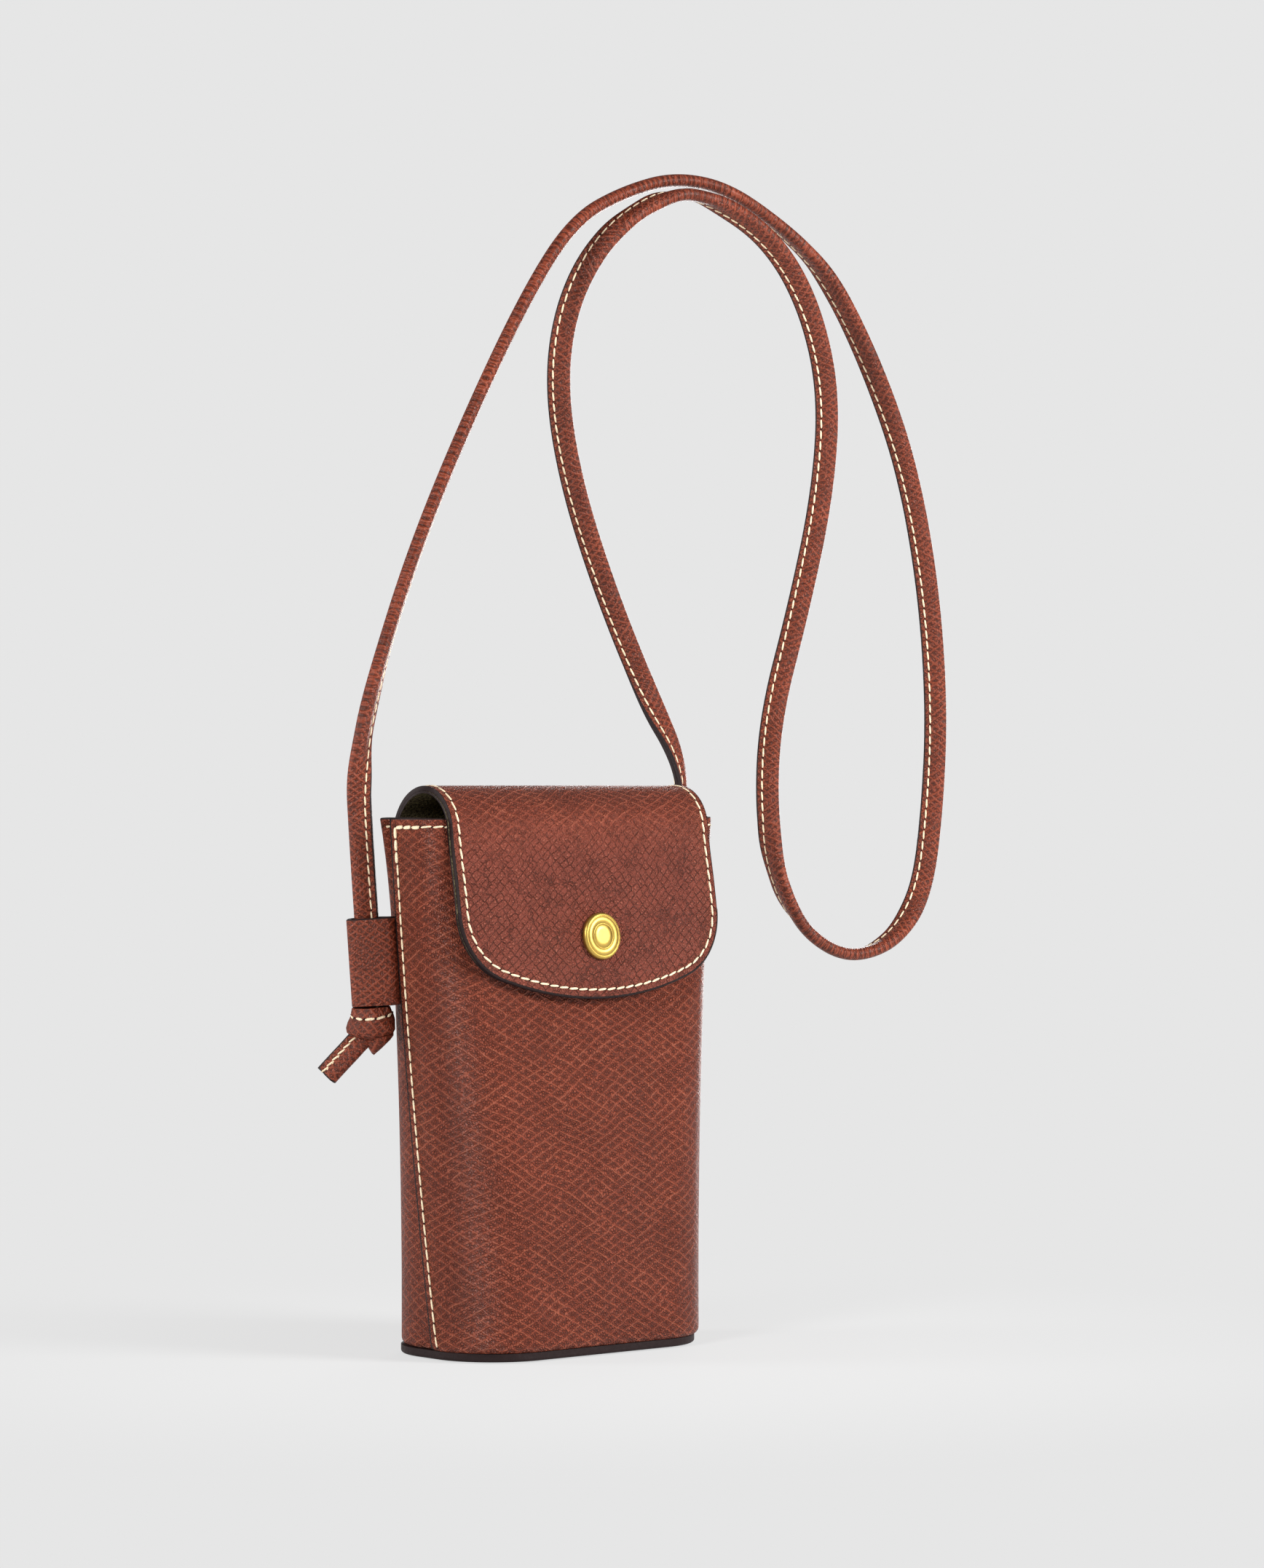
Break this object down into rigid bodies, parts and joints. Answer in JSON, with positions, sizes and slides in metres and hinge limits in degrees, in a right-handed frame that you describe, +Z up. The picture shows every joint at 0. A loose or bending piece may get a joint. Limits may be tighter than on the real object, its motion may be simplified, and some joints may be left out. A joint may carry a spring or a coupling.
{
  "type": "phone pouch",
  "caption": "Upright lined leather phone pouch with a flat sole, a fold-over flap held by a press stud, and a long folded strap knotted through loops on its side seams.",
  "frame": {"origin": "middle of the sole's underside, where the pouch stands", "axes": "+X across the width to the right as seen from the front, +Y from front to back, +Z up"},
  "size_m": [0.2552, 0.0659, 0.3771],
  "materials": {
    "leather": "cross-hatched grain, semi-gloss",
    "sole_leather": "dark painted edge",
    "lining": "bronze grained cloth",
    "board": "matt",
    "brass": "polished",
    "thread": "waxed thread"
  },
  "bodies": {
    "body": {"front_panel": "leather", "back_panel": "leather", "front_lining": "lining", "back_lining": "lining", "sole": "sole_leather", "base_board": "board", "base_lining": "lining", "snap_stud": "brass", "stud_rivet": "brass", "keeper_left": "leather", "keeper_right": "leather", "strap_left_end": "leather", "strap_left_run": "leather", "strap_right_run": "leather", "strap_right_end": "leather", "knot_left": "leather", "knot_right": "leather", "tail_left": "leather", "tail_right": "leather", "seam_stitches_left": "thread", "seam_stitches_right": "thread", "mouth_stitches": "thread", "wing_stitches": "thread"},
    "flap": {"flap": "leather", "flap_lining": "lining", "snap_cap": "brass", "snap_socket": "brass", "snap_spring": "brass", "flap_stitches": "thread"}
  },
  "joints": [
    {"name": "flap_hinge", "type": "hinge", "parent": "body", "child": "flap", "pos_m": [0, 0.01239, 0.163], "axis": [-1, 0, 0], "range_deg": [0, 160]}
  ]
}
